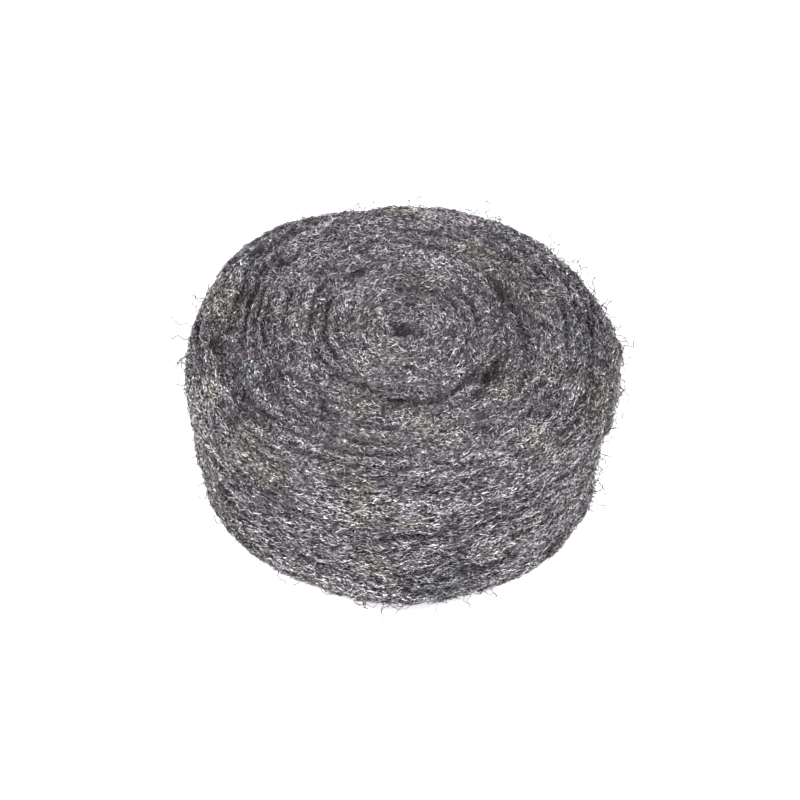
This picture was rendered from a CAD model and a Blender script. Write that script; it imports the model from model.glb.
# %% [markdown]
# # A roll of steel wool
#
# Steel wool is shaved from a moving steel wire, thousands of thin curls at a time. The curls are laid
# side by side into a flat batt, and the batt is wound into this roll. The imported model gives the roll's
# true size and turns as one plain solid. This script keeps that form and gives it what the eye knows
# steel wool by: a mat of fine curls, bright where they catch the light, over dark gaps.

# %% Load the frame
import math

import bmesh
import bpy
import numpy as np
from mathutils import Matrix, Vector, noise
from mathutils.bvhtree import BVHTree


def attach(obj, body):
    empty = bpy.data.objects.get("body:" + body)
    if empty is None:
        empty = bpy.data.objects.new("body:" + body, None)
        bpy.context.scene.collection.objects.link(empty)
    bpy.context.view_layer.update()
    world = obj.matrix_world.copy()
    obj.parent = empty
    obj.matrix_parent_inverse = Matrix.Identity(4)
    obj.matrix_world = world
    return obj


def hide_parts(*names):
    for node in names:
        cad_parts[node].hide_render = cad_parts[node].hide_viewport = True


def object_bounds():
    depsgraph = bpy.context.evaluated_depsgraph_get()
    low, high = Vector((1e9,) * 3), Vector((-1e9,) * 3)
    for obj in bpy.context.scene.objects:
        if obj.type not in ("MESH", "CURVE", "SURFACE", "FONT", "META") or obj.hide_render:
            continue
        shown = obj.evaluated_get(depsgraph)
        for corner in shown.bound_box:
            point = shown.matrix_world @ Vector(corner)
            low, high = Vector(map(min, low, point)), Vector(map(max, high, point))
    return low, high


MM = 0.001

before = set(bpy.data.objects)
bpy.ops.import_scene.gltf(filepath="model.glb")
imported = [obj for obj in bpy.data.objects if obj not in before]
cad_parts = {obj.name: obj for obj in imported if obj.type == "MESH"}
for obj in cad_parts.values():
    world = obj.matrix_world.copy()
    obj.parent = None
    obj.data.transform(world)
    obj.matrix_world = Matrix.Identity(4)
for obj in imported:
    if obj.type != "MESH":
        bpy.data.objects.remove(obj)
cad_low, cad_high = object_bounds()
roll_radius = (cad_high.x - cad_low.x) / 2
roll_height = cad_high.z
print(f"roll: {2 * roll_radius / MM:.1f} mm across, {roll_height / MM:.1f} mm high")

# %% [markdown]
# ## The camera
#
# The photograph looks down on the roll at a bit under 45 degrees, from far enough away that the top
# looks nearly as wide as the foot. A long lens does that. The camera is placed by what it looks at, how
# steeply and from how far, and the lens follows from how large the roll appears: so many pixels for a
# metre at the roll's middle.

# %% Place the camera
CAMERA_ELEVATION = math.radians(43.8)
CAMERA_DISTANCE = 1.46
PIXELS_PER_METRE = 3075
PICTURE_WIDTH = 800
SENSOR_WIDTH = 36.0
AIM = Vector((-0.0011, 0.0, 0.0372))

camera_data = bpy.data.cameras.new("photo_camera")
camera_data.sensor_width = SENSOR_WIDTH
camera_data.lens = PIXELS_PER_METRE * CAMERA_DISTANCE * SENSOR_WIDTH / PICTURE_WIDTH
camera = bpy.data.objects.new("photo_camera", camera_data)
backwards = Vector((0, -math.cos(CAMERA_ELEVATION), math.sin(CAMERA_ELEVATION)))
camera.location = AIM + backwards * CAMERA_DISTANCE
camera.rotation_euler = (math.pi / 2 - CAMERA_ELEVATION, 0, 0)
bpy.context.collection.objects.link(camera)
bpy.context.scene.camera = camera
print(f"lens: {camera_data.lens:.0f} mm")

# %% [markdown]
# ## The matted mass
#
# Below its surface the wool is one dense mat, and neighbouring turns hook into each other. The packed
# solid has a clean gap between its turns, as a drawing would, and a wide one where the winding is slack.
# Wool never shows such a black slit: a few millimetres down, curls cross it. So the mass is made of two
# swollen copies of the solid. The core is swollen until every gap is shut and then sunk below the
# surface, and it closes the gaps from below. The skin is swollen only enough to hook the turns together,
# so it keeps the valleys between them. A voxel remesh fuses both into one body with an even skin, which
# noise can then push into lumps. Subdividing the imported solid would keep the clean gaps, and it would
# look like rolled felt.

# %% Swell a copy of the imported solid
SAME_POINT = 0.001 * MM

packed_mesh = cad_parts["wool_roll"].data


def add_modifier(piece, kind, **settings):
    """Adds a modifier with its settings."""
    modifier = piece.modifiers.new(kind.lower(), kind)
    for name, value in settings.items():
        setattr(modifier, name, value)


def apply_modifiers(piece):
    """Keeps what the modifiers make as the piece's own mesh."""
    graph = bpy.context.evaluated_depsgraph_get()
    finished = bpy.data.meshes.new_from_object(piece.evaluated_get(graph))
    piece.modifiers.clear()
    piece.data = finished


def swollen_copy(name, swelling):
    """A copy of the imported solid, its surface moved outwards."""
    piece = bpy.data.objects.new(name, packed_mesh.copy())
    bpy.context.collection.objects.link(piece)
    add_modifier(piece, "WELD", merge_threshold=SAME_POINT)
    add_modifier(piece, "DISPLACE", strength=swelling, mid_level=0)
    return piece


print(f"packed solid: {len(packed_mesh.vertices)} points")

# %% Fuse the core and the skin
CORE_SWELLING = 3.0 * MM
CORE_DEPTH = 1.7 * MM
CORE_VOXEL = 1.5 * MM
SKIN_SWELLING = 0.5 * MM
SKIN_DEPTH = 0.7 * MM
SKIN_VOXEL = 1.05 * MM
SMOOTHING_PASSES = 2

core = swollen_copy("wool_core", CORE_SWELLING)
add_modifier(core, "REMESH", mode="VOXEL", voxel_size=CORE_VOXEL)
add_modifier(core, "SMOOTH", iterations=SMOOTHING_PASSES)
add_modifier(core, "DISPLACE", strength=-CORE_SWELLING - CORE_DEPTH, mid_level=0)
apply_modifiers(core)

mass = swollen_copy("wool_mass", SKIN_SWELLING)
apply_modifiers(mass)
both = bmesh.new()
both.from_mesh(core.data)
both.from_mesh(mass.data)
both.to_mesh(mass.data)
both.free()
bpy.data.objects.remove(core)
add_modifier(mass, "REMESH", mode="VOXEL", voxel_size=SKIN_VOXEL)
add_modifier(mass, "SMOOTH", iterations=SMOOTHING_PASSES)
add_modifier(mass, "DISPLACE", strength=-SKIN_SWELLING - SKIN_DEPTH, mid_level=0)
apply_modifiers(mass)
print(f"mass: {len(mass.data.vertices)} points")

# %% [markdown]
# A hand-wound roll is uneven at every size: soft lumps a fingertip wide, tufts of a few millimetres, and
# the roughness of single curls. One octave of noise for each, pushed along the surface normal, gives
# these. The batt is also made of strands, because its curls were laid side by side: full, rounded
# bands with a sharp crease between them. The absolute value of a sine has just that shape. It counts
# strands by height up the wall and then inwards over the top, and moves one turn's pitch for each lap,
# so that the creases follow the spiral. A soft noise lets them wander. Another, stretched along the
# winding, closes them in some places and leaves a long open crease in others. The foot stays flat where
# the roll rests on it, and the eye, where the winding began, is a small dark dimple.

# %% Fold the batt into strands
TURN_PITCH = 9.8 * MM
WALL_TOP = 54 * MM
SHOULDER = 10 * MM
WANDER = 0.9  # strand widths
WANDER_SIZE = 21 * MM
FADE_SIZE = 9 * MM
FADE_STRETCH = 3.0
MEAN_FADE = 0.58
FADE_CONTRAST = 1.8
APART = 10.0  # steps between the noises of two strand widths, enough to make them differ


def creases(point, number, width):
    """How full the strands of this width are here, 0 in a crease, and how open their creases are."""
    x, y, z = point
    over_shoulder = min(max((z - WALL_TOP) / SHOULDER, 0), 1)
    across = z + over_shoulder * (roll_radius - math.hypot(x, y))
    lap = math.atan2(y, x) / (2 * math.pi)
    apart = Vector((0, 0, APART * number))
    wander = WANDER * noise.noise(Vector(point) / WANDER_SIZE + apart)
    fold = abs(math.sin(math.pi * ((across - TURN_PITCH * lap) / width + wander)))
    unrolled = Vector((x / FADE_STRETCH, y / FADE_STRETCH, across))
    fade = MEAN_FADE + FADE_CONTRAST * noise.noise(unrolled / FADE_SIZE - apart)
    return fold, min(max(fade, 0.0), 1.0)


print(f"turns: {roll_radius / TURN_PITCH:.1f}, by their pitch")

# %% Push the mass into strands, lumps and tufts
STRANDS = ((TURN_PITCH / 2, 2.2 * MM), (TURN_PITCH / 3, 1.3 * MM))  # width and height of each sort
UNEVENNESS = ((9.0 * MM, 0.7 * MM), (3.2 * MM, 0.3 * MM), (2.0 * MM, 0.12 * MM))  # size and height
MEAN_FOLD = 0.6
CREASE_FOLD = 0.48
FOOT_FLATNESS = 3.0 * MM
EYE_RADII = (4.4 * MM, 1.5 * MM)
EYE_DEPTH = 3.2 * MM


def roughen(mesh):
    """Moves each point along its normal by the sum of the noises. Returns how full each point is: 0 in
    a crease and 1 on a strand."""
    points = np.empty(len(mesh.vertices) * 3)
    mesh.vertices.foreach_get("co", points)
    points = points.reshape(-1, 3)
    normals = np.empty(len(mesh.vertices) * 3, np.float32)
    mesh.vertex_normals.foreach_get("vector", normals)
    push = np.zeros(len(points))
    full = np.ones(len(points))
    for number, (width, height) in enumerate(STRANDS):
        fold, fade = np.array([creases(point, number, width) for point in points]).T
        push += height * fade * (fold - MEAN_FOLD)
        full = np.minimum(full, 1 - fade * (1 - np.clip(fold / CREASE_FOLD, 0, 1)))
    for size, height in UNEVENNESS:
        push += [height * noise.noise(Vector(point) / size) for point in points]
    push *= np.clip(points[:, 2] / FOOT_FLATNESS, 0, 1)
    points += push[:, None] * normals.reshape(-1, 3)
    in_eye = np.exp(-(((points[:, 0] / EYE_RADII[0]) ** 2 + (points[:, 1] / EYE_RADII[1]) ** 2) ** 2))
    points[:, 2] -= EYE_DEPTH * in_eye * (points[:, 2] > roll_height / 2)
    points[:, 2] = np.maximum(points[:, 2], 0.0)
    mesh.vertices.foreach_set("co", points.ravel())
    mesh.update()
    return full


fullness = roughen(mass.data)
mass.data.shade_smooth()
mass.data.calc_loop_triangles()
print(f"mass: {len(mass.data.loop_triangles)} triangles")
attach(mass, "root")
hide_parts("wool_roll")

# %% [markdown]
# ## Where fibres lie
#
# The surface is covered with fibres, each a mesh of its own, because steel wool's look is its crossing
# highlights and the shadows between them, which no bump map gives at this distance. First come the
# places: points drawn at random over the mass, as many on each triangle as its area asks for. A weight
# lets the wall, the top and the base have their own densities. It also keeps fibres out of the creases
# and the eye, which stay dark: from each point of the mass a few slanting looks are cast, and the share
# that meets neither wool nor floor says how open the place is. On the underside, which would see
# nothing but floor, only wool counts.

# %% Measure how open each place is
LOOKS = 8
LOOK_SLANTS = (0.7, 1.9)
LOOK_REACH = 8.0 * MM
LOOK_START = 0.3 * MM
FACING_FLOOR = -0.6  # a normal that points further down than this is the underside's
EVENING_PASSES = 2
IN_A_CREASE = 0.12
NOTHING = 1e-12  # what a length or an area of zero is divided by instead


def triangles_of(mesh):
    """Each triangle's point numbers, corners, normal and area, as arrays."""
    points = np.empty(len(mesh.vertices) * 3)
    mesh.vertices.foreach_get("co", points)
    numbers = np.empty(len(mesh.loop_triangles) * 3, np.int32)
    mesh.loop_triangles.foreach_get("vertices", numbers)
    numbers = numbers.reshape(-1, 3)
    corners = points.reshape(-1, 3)[numbers]
    cross = np.cross(corners[:, 1] - corners[:, 0], corners[:, 2] - corners[:, 0])
    doubled_area = np.linalg.norm(cross, axis=1)
    return numbers, corners, cross / np.maximum(doubled_area, NOTHING)[:, None], doubled_area / 2


def openness(vertex):
    """The share of slanting looks from this point of the mass that meet neither wool nor floor."""
    start = vertex.co + LOOK_START * vertex.normal
    side = vertex.normal.orthogonal().normalized()
    across = vertex.normal.cross(side)
    free = 0
    for look in range(LOOKS):
        angle = 2 * math.pi * look / LOOKS
        slant = LOOK_SLANTS[look % 2]
        direction = vertex.normal + slant * (math.cos(angle) * side + math.sin(angle) * across)
        direction.normalize()
        over_floor = start.z + LOOK_REACH * direction.z > 0 or vertex.normal.z < FACING_FLOOR
        free += over_floor and surface.ray_cast(start, direction, LOOK_REACH)[0] is None
    return free / LOOKS


def evened(values, mesh):
    """The values at the mesh's points, each averaged with its neighbours' a few times."""
    ends = np.empty(len(mesh.edges) * 2, np.int32)
    mesh.edges.foreach_get("vertices", ends)
    ends = np.concatenate([ends.reshape(-1, 2), ends.reshape(-1, 2)[:, ::-1]])
    neighbours = np.bincount(ends[:, 0], minlength=len(values))
    for _ in range(EVENING_PASSES):
        total = np.bincount(ends[:, 0], weights=values[ends[:, 1]], minlength=len(values))
        values = (values + total) / (1 + neighbours)
    return values


numbers, corners, facing, areas = triangles_of(mass.data)
mass_points = [vertex.co for vertex in mass.data.vertices]
surface = BVHTree.FromPolygons(mass_points, numbers.tolist(), all_triangles=True)
open_share = evened(np.array([openness(vertex) for vertex in mass.data.vertices]), mass.data)
light_there = open_share * (IN_A_CREASE + (1 - IN_A_CREASE) * evened(fullness, mass.data))
mass.data.attributes.new("light_there", "FLOAT", "POINT").data.foreach_set("value", light_there)
print(f"light: {np.percentile(light_there, (1, 10, 50, 90)).round(2)} at the 1st, 10th, 50th, 90th percent")

# %% Draw places on the mass
WALL_STARTS = 0.80 * roll_radius
SQUARE_CM = 1e-4

dice = np.random.default_rng(7)
middles = corners.mean(axis=1)
light_of = light_there[numbers].mean(axis=1)
from_axis = np.linalg.norm(middles[:, :2], axis=1)
outwards = middles[:, :2] / np.maximum(from_axis, MM)[:, None]
facing_out = np.einsum("ij,ij->i", facing[:, :2], outwards)
in_the_open = light_of**2

wall_weight = np.clip(facing_out, 0, 1) * (from_axis > WALL_STARTS) * in_the_open
top_weight = np.clip(facing[:, 2], 0, 1) * in_the_open
base_weight = np.clip(-facing[:, 2], 0, 1) * in_the_open


def drawn_places(count, weight):
    """Random places on the mass, by area and weight, with the surface normal there."""
    chance = areas * weight
    chosen = dice.choice(len(areas), count, p=chance / chance.sum())
    first, second = dice.random((2, count))
    flip = first + second > 1
    first[flip], second[flip] = 1 - first[flip], 1 - second[flip]
    shares = np.stack([1 - first - second, first, second], axis=1)
    return np.einsum("ij,ijk->ik", shares, corners[chosen]), facing[chosen]


for name, weight in (("wall", wall_weight), ("top", top_weight), ("base", base_weight)):
    print(f"{name}: {(areas * weight).sum() / SQUARE_CM:.0f} square centimetres, counted by weight")

# %% [markdown]
# ## A fibre's path
#
# Each fibre is a short arc. It starts along the winding, since the batt is laid that way, turned by a
# random angle: little on the wall, where the batt is stretched flat, and a lot on the top, where its cut
# edge frays. A soft noise makes neighbours lean the same way. The arc's middle rises over its
# neighbours, and a tilt lifts one end and sinks the other, so it looks hooked in. The tilt has a limit,
# or a rare steep one would stand off the roll like a needle. The real fibre is 0.05 to 0.1 mm wide. That
# is too fine to show here, so it is drawn two to five times as wide, as the small bundles that the eye
# picks out.

# %% Draw arcs along the winding
LENGTH_RANGE = (0.6, 1.4)
LEAN_SIZE = 7.0 * MM
LEAN_ANGLE = math.radians(15)


def unit(vectors):
    """The vectors, each one long."""
    return vectors / np.maximum(np.linalg.norm(vectors, axis=-1, keepdims=True), NOTHING)


def winding_directions(places, normals):
    """The direction of the winding at each place, in the plane of the surface."""
    along = np.stack([places[:, 1], -places[:, 0], np.zeros(len(places))], axis=1)
    along -= np.einsum("ij,ij->i", along, normals)[:, None] * normals
    return unit(along)


def arcs(places, normals, spread, length, curl, shares):
    """Points along one arc for each place, and the surface normals there. shares are how far along."""
    count = len(places)
    along = winding_directions(places, normals)
    across = np.cross(normals, along)
    lean = np.array([LEAN_ANGLE * noise.noise(Vector(place) / LEAN_SIZE) for place in places])
    turned = lean + dice.normal(0, spread, count)
    lengths = length * dice.uniform(*LENGTH_RANGE, count)
    bend = dice.normal(0, curl, count)
    steps = (np.asarray(shares) - 0.5)[None, :] * lengths[:, None]
    sideways = 0.5 * bend[:, None] * steps**2 / length
    forward = steps * np.sinc(bend[:, None] * steps / length / math.pi)
    u = forward * np.cos(turned)[:, None] - sideways * np.sin(turned)[:, None]
    v = forward * np.sin(turned)[:, None] + sideways * np.cos(turned)[:, None]
    points = places[:, None] + u[..., None] * along[:, None] + v[..., None] * across[:, None]
    return points, np.repeat(normals[:, None], len(shares), axis=1)


print(f"neighbours lean together by up to {math.degrees(LEAN_ANGLE):.0f} degrees")

# %% Lay the arcs on the surface
FARTHEST_SNAP = 1.6 * MM
ARCH = (0.1 * MM, 0.5 * MM)
STEEPEST = math.radians(40)
FLOOR_CLEARANCE = 0.25 * MM


def snapped(points, normals):
    """The points moved onto the surface, each with the normal and the light found there."""
    flat_points, flat_normals = points.reshape(-1, 3), normals.reshape(-1, 3)
    light = np.empty(len(flat_points))
    for number, point in enumerate(flat_points):
        found, normal, triangle, away = surface.find_nearest(point)
        light[number] = light_of[triangle]
        if away < FARTHEST_SNAP:
            flat_points[number] = found
            flat_normals[number] = normal
    return points, normals, light.reshape(points.shape[:2])


def laid_fibres(count, weight, spread, length, curl, lift, tilt, shares):
    """The paths of fibres that lie on the mass, and the normals and the light along them."""
    places, normals = drawn_places(count, weight)
    points, normals, light = snapped(*arcs(places, normals, spread, length, curl, shares))
    shares = np.asarray(shares)
    heights = dice.uniform(*lift, count)[:, None]
    tilts = np.clip(dice.normal(0, tilt, count), -STEEPEST, STEEPEST)
    slope = np.tan(tilts)[:, None] * (shares - 0.5) * length
    arch = np.sin(math.pi * shares) * dice.uniform(*ARCH, count)[:, None]
    points = points + (heights + slope + arch)[..., None] * normals
    points[..., 2] = np.maximum(points[..., 2], FLOOR_CLEARANCE)
    return points, normals, light


# %% [markdown]
# ## A fibre's body
#
# Shaved fibre is not round: the knife leaves it roughly three-cornered, and its flat sides are what
# flash. So each body is a three-sided prism with pointed ends, closed all round. numpy works out every
# corner of every fibre at once, in seconds, where adding Blender curve objects one by one would take
# minutes. Each fibre also gets a small cell of the UV map, so that a baked picture can hold each one's
# own brightness.

# %% Shape one fibre
SIDES = 3


def fibre_template(rings):
    """One fibre's faces, and for each face corner its place in the fibre's cell: (along, round)."""
    first_tip, last_tip = 0, 1 + SIDES * rings
    faces, places = [], []
    for side in range(SIDES):
        after = (side + 1) % SIDES
        low, middle, high = side / SIDES, (side + 0.5) / SIDES, (side + 1) / SIDES
        faces.append((1 + after, 1 + side, first_tip))
        places += [(1, high), (1, low), (0, middle)]
        for ring in range(1, rings):
            near, far = 1 + SIDES * (ring - 1), 1 + SIDES * ring
            faces.append((near + side, near + after, far + after, far + side))
            places += [(ring, low), (ring, high), (ring + 1, high), (ring + 1, low)]
        last = last_tip - SIDES
        faces.append((last + side, last + after, last_tip))
        places += [(rings, low), (rings, high), (rings + 1, middle)]
    places = np.array(places, float)
    places[:, 0] /= rings + 1
    return faces, places


def fibre_points(paths, normals, widths):
    """The corners of all the fibres, as (fibres, points, 3)."""
    along = unit(np.gradient(paths, axis=1))
    across = unit(np.cross(normals, along))
    above = np.cross(along, across)
    roll_angle = dice.uniform(0, 2 * math.pi, len(paths))
    rings = paths.shape[1] - 2
    corners_of_rings = []
    for side in range(SIDES):
        angle = (roll_angle + 2 * math.pi * side / SIDES)[:, None, None]
        offset = np.cos(angle) * across[:, 1:-1] + np.sin(angle) * above[:, 1:-1]
        corners_of_rings.append(paths[:, 1:-1] + offset * (widths / 2)[:, None, None])
    ringed = np.stack(corners_of_rings, axis=2).reshape(len(paths), rings * SIDES, 3)
    return np.concatenate([paths[:, :1], ringed, paths[:, -1:]], axis=1)


print(f"the shortest fibre has {len(fibre_template(1)[0])} faces")

# %% Join fibres into one piece
WIDTH_RANGE = (0.7, 1.3)
CELL_MARGIN = 0.12
CUBIC_CM = 1e-6


def volume_of(mesh):
    """The volume that a closed mesh holds."""
    mesh.calc_loop_triangles()
    _, corners, facing, areas = triangles_of(mesh)
    return (np.einsum("ij,ij->i", corners[:, 0], facing) * areas).sum() / 3


def fibre_piece(name, paths, normals, light, width):
    """One piece that holds all these fibres."""
    count, stops = paths.shape[:2]
    faces, places = fibre_template(stops - 2)
    points = fibre_points(paths, normals, width * dice.uniform(*WIDTH_RANGE, count))
    first_points = range(0, count * points.shape[1], points.shape[1])
    all_faces = [tuple(first + corner for corner in face) for first in first_points for face in faces]
    mesh = bpy.data.meshes.new(name)
    mesh.from_pydata(points.reshape(-1, 3), [], all_faces)
    mesh.shade_smooth()
    ring_light = np.repeat(light[:, 1:-1], SIDES, axis=1)
    point_light = np.concatenate([light[:, :1], ring_light, light[:, -1:]], axis=1)
    mesh.attributes.new("light_there", "FLOAT", "POINT").data.foreach_set("value", point_light.ravel())

    cells = math.ceil(math.sqrt(count))
    cell = np.stack(np.divmod(np.arange(count), cells), axis=1)[:, None]
    uv = (cell + CELL_MARGIN + (1 - 2 * CELL_MARGIN) * places[None]) / cells
    mesh.uv_layers.new(name="OFBake").data.foreach_set("uv", uv.ravel())

    piece = bpy.data.objects.new(name, mesh)
    bpy.context.collection.objects.link(piece)
    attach(piece, "root")
    steel_volume = volume_of(mesh) / CUBIC_CM
    print(f"{name}: {count} fibres, {len(mesh.loop_triangles)} triangles, {steel_volume:.2f} cm3 of steel")
    return piece


# %% [markdown]
# Two layers cover the roll. The under layer is many plain needles deep in the mat, of two pyramids
# each. The over layer has finer and curlier fibres, tilted more, that hook out and catch the light, and
# it shades the under layer a little. The base rests on the floor and needs one layer.

# %% Cover the wall, the top and the base
WALL_SPREAD = math.radians(15)
TOP_SPREAD = math.radians(42)
UNDER_WIDTH = 0.27 * MM
OVER_WIDTH = 0.20 * MM
UNDER_LIGHT = 0.84

# How high the layer is lifted, how much its fibres tilt, and where along each one its stops are.
UNDER_LAYER = ((-0.10 * MM, 0.25 * MM), math.radians(4), (0.0, 0.5, 1.0))
OVER_LAYER = ((0.0 * MM, 0.5 * MM), math.radians(20), (0.0, 0.27, 0.73, 1.0))

# Name, number of fibres, width, where they lie, spread from the winding, length and curl.
COVERS = (
    ("wool_wall_under", 32500, UNDER_WIDTH, wall_weight, WALL_SPREAD, 4.2 * MM, 0.3, *UNDER_LAYER),
    ("wool_wall_over", 16500, OVER_WIDTH, wall_weight, WALL_SPREAD, 4.2 * MM, 0.6, *OVER_LAYER),
    ("wool_top_under", 27000, UNDER_WIDTH, top_weight, TOP_SPREAD, 3.1 * MM, 0.4, *UNDER_LAYER),
    ("wool_top_over", 13500, OVER_WIDTH, top_weight, TOP_SPREAD, 3.0 * MM, 0.8, *OVER_LAYER),
    ("wool_base", 8000, UNDER_WIDTH, base_weight, TOP_SPREAD, 3.4 * MM, 0.6, *UNDER_LAYER),
)
fibres = []
for name, count, width, *settings in COVERS:
    paths, normals, light = laid_fibres(count, *settings)
    if name.endswith("under"):
        light *= UNDER_LIGHT
    fibres.append(fibre_piece(name, paths, normals, light, width))

# %% [markdown]
# ## Loose curls
#
# All round the outline, single curls have sprung free of the mat. Each is a fine wavy thread, because
# the knife coils the steel as it shaves it. It leaves the surface at a slant and bends back towards it.
# Handling pulls them out in tufts, so a soft noise gathers them, and there are more on the side where
# the roll has been picked at. They stand against the white floor, where thin bright threads would not
# be seen, so they are drawn dark.

# %% Let curls spring free
LOOSE_LENGTH = 9.0 * MM
LOOSE_LENGTH_RANGE = (0.3, 1.3)
LOOSE_LIGHT = 0.35
LOOSE_STOPS = 11
LOOSE_WIDTH = 0.26 * MM
RISE = (0.15, 0.8)
BEND_BACK = 0.35
WAVE_LENGTH = 5.5 * MM
WAVE_HEIGHT = (0.4 * MM, 1.2 * MM)
WAVE_GROWTH = 3


def loose_curls(count, weight):
    """The paths of curls that leave the surface, and the normals and the light along them."""
    places, normals = drawn_places(count, weight)
    along = winding_directions(places, normals)
    across = np.cross(normals, along)
    compass = dice.uniform(0, 2 * math.pi, count)[:, None]
    rise = dice.uniform(*RISE, count)[:, None]
    heading = unit(np.cos(compass) * along + np.sin(compass) * across + rise * normals)
    aside = unit(np.cross(heading, normals))
    above = np.cross(aside, heading)
    shares = np.linspace(0, 1, LOOSE_STOPS)[None, :, None]
    lengths = (LOOSE_LENGTH * dice.uniform(*LOOSE_LENGTH_RANGE, count))[:, None, None]
    phase = 2 * math.pi * shares * lengths / WAVE_LENGTH
    phase = phase + dice.uniform(0, 2 * math.pi, count)[:, None, None]
    wave = dice.uniform(*WAVE_HEIGHT, count)[:, None, None] * np.clip(WAVE_GROWTH * shares, 0, 1)
    paths = places[:, None] + lengths * shares * heading[:, None]
    paths = paths - BEND_BACK * rise[:, None] * lengths * shares**2 * normals[:, None]
    paths = paths + wave * (np.sin(phase) * aside[:, None] + np.cos(phase) * above[:, None])
    paths[..., 2] = np.maximum(paths[..., 2], LOOSE_WIDTH)
    light = np.full((count, LOOSE_STOPS), LOOSE_LIGHT)
    return paths, np.repeat(normals[:, None], LOOSE_STOPS, axis=1), light


# %% Gather them in tufts
LOOSE_COUNT = 1450
TOP_SHARE = 0.3
TUFT_SIZE = 22 * MM
MEAN_TUFT = 0.4
TUFT_CONTRAST = 2.5
TUFT_LIMITS = (0.1, 2)
PICKED_SIDE = (0.6, 0.8)

on_wall = np.clip(facing_out, 0, 1) * (from_axis > WALL_STARTS)
all_round = on_wall + TOP_SHARE * np.clip(facing[:, 2], 0, 1)
tufts = np.array([noise.noise(Vector(middle) / TUFT_SIZE) for middle in middles])
picked = np.clip(outwards @ PICKED_SIDE, 0, 1)
loose_weight = all_round * (np.clip(MEAN_TUFT + TUFT_CONTRAST * tufts, *TUFT_LIMITS) + picked)
loose = fibre_piece("wool_loose_curls", *loose_curls(LOOSE_COUNT, loose_weight), LOOSE_WIDTH)
fibres.append(loose)

# %% [markdown]
# ## Nodes and colours
#
# Colours are written as a designer writes them, in hex, and one function turns them into the linear
# numbers that Blender computes with. One more adds a node with its settings and links.

# %% Helpers for materials


def linear(hex_colour):
    """A hex colour as Blender's linear numbers."""
    parts = [int(hex_colour[start : start + 2], 16) / 255 for start in (1, 3, 5)]
    return (*(part / 12.92 if part <= 0.04045 else ((part + 0.055) / 1.055) ** 2.4 for part in parts), 1.0)


def add_node(tree, kind, inputs=None, stops=(), **settings):
    """Adds a node, sets what is named, fills or links its inputs, and gives a ramp its stops."""
    node = tree.nodes.new(kind)
    for name, value in settings.items():
        setattr(node, name, value)
    for name, value in (inputs or {}).items():
        if isinstance(value, bpy.types.NodeSocket):
            tree.links.new(value, node.inputs[name])
        else:
            node.inputs[name].default_value = value
    for number, (position, colour) in enumerate(stops):
        elements = node.color_ramp.elements
        element = elements[number] if number < len(elements) else elements.new(position)
        element.position = position
        element.color = linear(colour)
    return node


def per_metre(size):
    """The scale that gives a pattern this size."""
    return 1 / size


print("mid grey in linear numbers:", [round(part, 3) for part in linear("#8a868a")])

# %% [markdown]
# ## Tint and shade
#
# Bright steel picks up faint colours: a violet cast where it has blued from the heat of the knife, a
# warm one where the cutting oil has dried on it. They come in soft patches a few turns wide. Deep in
# the gaps and along the creases little light comes in. Real wool has far more fibres than this to keep
# it out, so the openness measured above darkens the colour there as well. Both materials are multiplied
# by the same patches and the same shade, so that they agree.

# %% Tint and shade both materials alike
PATCH_SIZE = 24 * MM
TINTS = ((0.34, "#fffdf5"), (0.46, "#fffbff"), (0.58, "#fef7ff"), (0.70, "#f6faff"))
SHADES = ((0.25, "#747474"), (0.90, "#ffffff"))


def tinted(tree, place, colour):
    """The colour, multiplied by the patches of tint."""
    patches = add_node(
        tree,
        "ShaderNodeTexNoise",
        {"Vector": place, "Scale": per_metre(PATCH_SIZE), "Detail": 2.0, "Roughness": 0.6},
    )
    tint = add_node(tree, "ShaderNodeValToRGB", {"Fac": patches.outputs["Fac"]}, stops=TINTS)
    mix = add_node(
        tree,
        "ShaderNodeMix",
        {0: 1.0, 6: colour, 7: tint.outputs["Color"]},
        data_type="RGBA",
        blend_type="MULTIPLY",
    )
    return mix.outputs[2]


def shaded(tree, colour):
    """The colour, darker where little light comes in."""
    there = add_node(tree, "ShaderNodeAttribute", attribute_name="light_there")
    shade = add_node(tree, "ShaderNodeValToRGB", {"Fac": there.outputs["Fac"]}, stops=SHADES)
    mix = add_node(
        tree,
        "ShaderNodeMix",
        {0: 1.0, 6: colour, 7: shade.outputs["Color"]},
        data_type="RGBA",
        blend_type="MULTIPLY",
    )
    return mix.outputs[2]


print(f"tints: {len(TINTS)}, in patches {PATCH_SIZE / MM:.0f} mm wide")

# %% [markdown]
# ## The mat
#
# Between the modelled fibres the eye sees more fibres, too many to model. The mass carries them as a
# pattern: where a noise passes through its middle value it draws thin curly lines, and two such
# noises of different size give lines over lines. The lines are as pale as the fibres and the ground
# between them is dark, because light that goes in there hardly comes out. The curls were laid along the
# batt, so the noise is looked up by how far round the roll a point is, how far out and how high, and
# stretched along the first.

# %% Wind the pattern round the roll
LINE_STRETCH = 2.5

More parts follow.
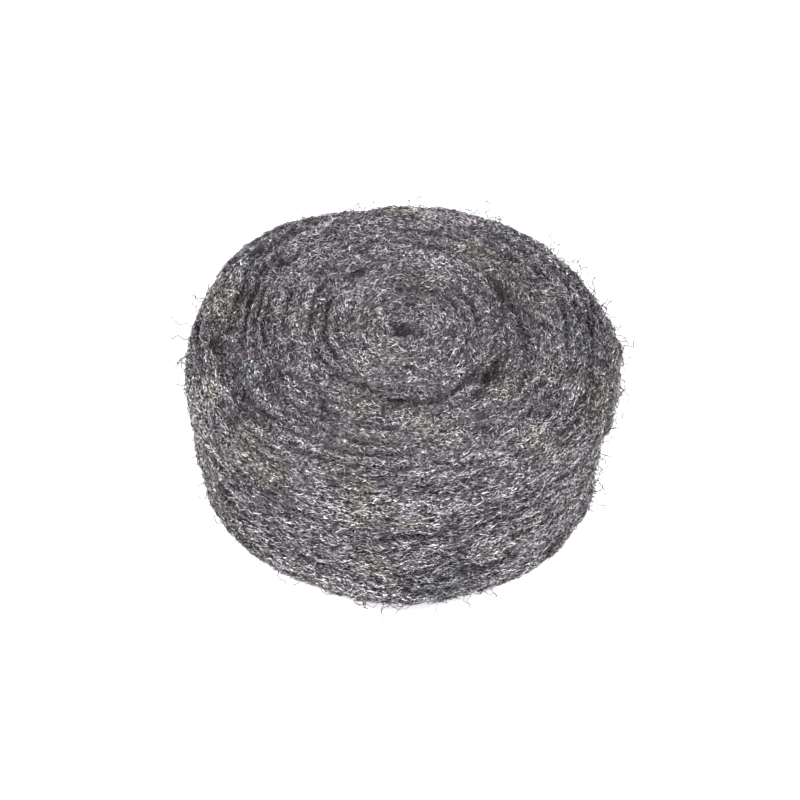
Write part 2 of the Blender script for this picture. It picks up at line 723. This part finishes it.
mat = bpy.data.materials.new("matted_steel_wool")
mat.use_nodes = True
tree = mat.node_tree
place = add_node(tree, "ShaderNodeTexCoord").outputs["Object"]
parts = add_node(tree, "ShaderNodeSeparateXYZ", {"Vector": place}).outputs
angle = add_node(tree, "ShaderNodeMath", {0: parts["Y"], 1: parts["X"]}, operation="ARCTAN2")
flat = add_node(tree, "ShaderNodeCombineXYZ", {"X": parts["X"], "Y": parts["Y"]})
radius = add_node(tree, "ShaderNodeVectorMath", {0: flat.outputs[0]}, operation="LENGTH")
arc = add_node(
    tree,
    "ShaderNodeMath",
    {0: angle.outputs[0], 1: roll_radius / LINE_STRETCH},
    operation="MULTIPLY",
)
wound = add_node(
    tree,
    "ShaderNodeCombineXYZ",
    {"X": arc.outputs[0], "Y": radius.outputs["Value"], "Z": parts["Z"]},
)
lap_length = 2 * math.pi * roll_radius
print(f"one lap of {lap_length / MM:.0f} mm shows {lap_length / LINE_STRETCH / MM:.0f} mm of pattern")

# %% Draw curly lines
# Real curls lie about 0.3 mm apart. That is about one pixel here and would blur to an even grey, so
# the lines are drawn three to five times as far apart.
LINE_SIZES = (1.7 * MM, 1.0 * MM)
LINE_HALF_WIDTH = 0.035


def curly_lines(tree, place, size):
    """1 along the lines where a noise of this size has its middle value, fading to 0 beside them."""
    curls = add_node(
        tree,
        "ShaderNodeTexNoise",
        {"Vector": place, "Scale": per_metre(size), "Detail": 1.0, "Distortion": 0.8},
    )
    past = add_node(tree, "ShaderNodeMath", {0: curls.outputs["Fac"], 1: 0.5}, operation="SUBTRACT")
    away = add_node(tree, "ShaderNodeMath", {0: past.outputs[0]}, operation="ABSOLUTE")
    fading = {"From Min": 0.0, "From Max": LINE_HALF_WIDTH, "To Min": 1.0, "To Max": 0.0}
    return add_node(tree, "ShaderNodeMapRange", {"Value": away.outputs[0], **fading}).outputs[0]


coarse, fine = (curly_lines(tree, wound.outputs[0], size) for size in LINE_SIZES)
lines = add_node(tree, "ShaderNodeMath", {0: coarse, 1: fine}, operation="MAXIMUM").outputs[0]
print(f"lines: {[round(size / MM, 1) for size in LINE_SIZES]} mm apart")

# %% Colour the mat
# Matted steel is many small sides in all directions, which scatter light like a rough metal, over gaps
# that send nothing back. So it is rougher than a fibre and a little less than all metal.
shader = tree.nodes["Principled BSDF"]
shader.inputs["Metallic"].default_value = 0.8
shader.inputs["Roughness"].default_value = 0.55
ramp = add_node(
    tree,
    "ShaderNodeValToRGB",
    {"Fac": lines},
    stops=((0.0, "#343134"), (0.5, "#6a666a"), (1.0, "#bcb7bc")),
)
tree.links.new(shaded(tree, tinted(tree, place, ramp.outputs["Color"])), shader.inputs["Base Color"])
bump = add_node(tree, "ShaderNodeBump", {"Height": lines, "Strength": 0.6, "Distance": 0.2 * MM})
tree.links.new(bump.outputs["Normal"], shader.inputs["Normal"])
mass.data.materials.clear()
mass.data.materials.append(mat)
print(f"{mat.name}: {len(tree.nodes)} nodes")

# %% [markdown]
# ## The fibres
#
# The material is plain low-carbon steel, bright from the knife. Each fibre shows one brightness, by how
# its flat sides happen to lie, so each gets its own from a ramp: dark, through grey, to fully bright for
# about four in ten. The curl also twists as it lies, so a side flashes for about a millimetre and then
# turns away. A fine noise does the same, and each fibre looks it up in a place of its own, or
# neighbours would flash together in blots. A fibre is smooth along its cut, so the roughness is low
# enough to glint.

# %% Make the shaved steel
FLASH_SIZE = 0.95 * MM

steel = bpy.data.materials.new("shaved_steel_fibre")
steel.use_nodes = True
tree = steel.node_tree
shader = tree.nodes["Principled BSDF"]
shader.inputs["Metallic"].default_value = 1.0
shader.inputs["Roughness"].default_value = 0.28
place = add_node(tree, "ShaderNodeTexCoord").outputs["Object"]
which = add_node(tree, "ShaderNodeNewGeometry").outputs["Random Per Island"]
ramp = add_node(
    tree,
    "ShaderNodeValToRGB",
    {"Fac": which},
    stops=((0.0, "#433f43"), (0.42, "#9c969c"), (0.62, "#ffffff"), (0.75, "#ffffff")),
)
own_place = add_node(tree, "ShaderNodeVectorMath", {0: place, 1: which}, operation="ADD")
twist = add_node(
    tree,
    "ShaderNodeTexNoise",
    {"Vector": own_place.outputs[0], "Scale": per_metre(FLASH_SIZE), "Detail": 1.0},
)
flash = add_node(
    tree,
    "ShaderNodeValToRGB",
    {"Fac": twist.outputs["Fac"]},
    stops=((0.40, "#505050"), (0.54, "#ffffff")),
)
flashing = add_node(
    tree,
    "ShaderNodeMix",
    {0: 1.0, 6: ramp.outputs["Color"], 7: flash.outputs["Color"]},
    data_type="RGBA",
    blend_type="MULTIPLY",
)
tree.links.new(shaded(tree, tinted(tree, place, flashing.outputs[2])), shader.inputs["Base Color"])
for piece in fibres:
    piece.data.materials.append(steel)
print(f"{steel.name}: on {len(fibres)} pieces")

# %% [markdown]
# ## Light and floor
#
# The photograph looks as if it was taken in a light tent: light from all round, and a soft box at each
# side in front. A white world gives the first and two square lamps the second. The floor is white
# paper: pressed fibre, matt all over, so it is rough and has no gloss. It lies a hair below the roll, so
# that the two never share a plane. To the camera, and in the metal's reflections, it also glows, so that
# it shows as the photograph's white, and it still takes the roll's shadow.

# %% Light the roll
WORLD_STRENGTH = 0.5
LAMP_SIZE = 0.35
LAMPS = (("left_lamp", (-0.75, -0.50, 1.04), 28), ("right_lamp", (0.70, -0.55, 1.04), 25))  # watts

scene = bpy.context.scene
scene.view_settings.view_transform = "Standard"


def seen_directly(tree):
    """1 for rays from the camera and rays that a shiny or clear surface sends on."""
    rays = add_node(tree, "ShaderNodeLightPath").outputs
    either = add_node(
        tree,
        "ShaderNodeMath",
        {0: rays["Is Camera Ray"], 1: rays["Is Glossy Ray"]},
        operation="MAXIMUM",
    )
    any_of_them = add_node(
        tree,
        "ShaderNodeMath",
        {0: either.outputs[0], 1: rays["Is Transmission Ray"]},
        operation="MAXIMUM",
    )
    return any_of_them.outputs[0]


world = bpy.data.worlds.new("light_tent")
world.use_nodes = True
scene.world = world
tree = world.node_tree
background = tree.nodes["Background"]
background.inputs["Color"].default_value = (1, 1, 1, 1)
strength = add_node(
    tree,
    "ShaderNodeMapRange",
    {"Value": seen_directly(tree), "To Min": WORLD_STRENGTH, "To Max": 1.0},
)
tree.links.new(strength.outputs[0], background.inputs["Strength"])

for name, lamp_place, power in LAMPS:
    lamp_data = bpy.data.lights.new(name, "AREA")
    lamp_data.size = LAMP_SIZE
    lamp_data.energy = power
    lamp = bpy.data.objects.new(name, lamp_data)
    lamp.location = lamp_place
    to_roll = AIM - Vector(lamp_place)
    lamp.rotation_euler = to_roll.to_track_quat("-Z", "Y").to_euler()
    bpy.context.collection.objects.link(lamp)
    print(f"{name}: {power} W, {to_roll.length:.2f} m away")

# %% Lay the floor
FLOOR_HALF_WIDTH = 3.0
FLOOR_DROP = 0.3 * MM
FLOOR_GLOW = 0.80

floor_corners = [
    (FLOOR_HALF_WIDTH * x, FLOOR_HALF_WIDTH * y, -FLOOR_DROP)
    for x, y in ((-1, -1), (1, -1), (1, 1), (-1, 1))
]
floor_mesh = bpy.data.meshes.new("floor")
floor_mesh.from_pydata(floor_corners, [], [(0, 1, 2, 3)])
floor = bpy.data.objects.new("floor", floor_mesh)
bpy.context.collection.objects.link(floor)

paper = bpy.data.materials.new("white_paper")
paper.use_nodes = True
tree = paper.node_tree
shader = tree.nodes["Principled BSDF"]
shader.inputs["Base Color"].default_value = linear("#b8b8b8")
shader.inputs["Roughness"].default_value = 0.9
shader.inputs["Specular IOR Level"].default_value = 0.0
shader.inputs["Emission Color"].default_value = (1, 1, 1, 1)
glow = add_node(tree, "ShaderNodeMath", {0: seen_directly(tree), 1: FLOOR_GLOW}, operation="MULTIPLY")
tree.links.new(glow.outputs[0], shader.inputs["Emission Strength"])
floor_mesh.materials.append(paper)
print(f"floor: {2 * FLOOR_HALF_WIDTH:.0f} m wide")
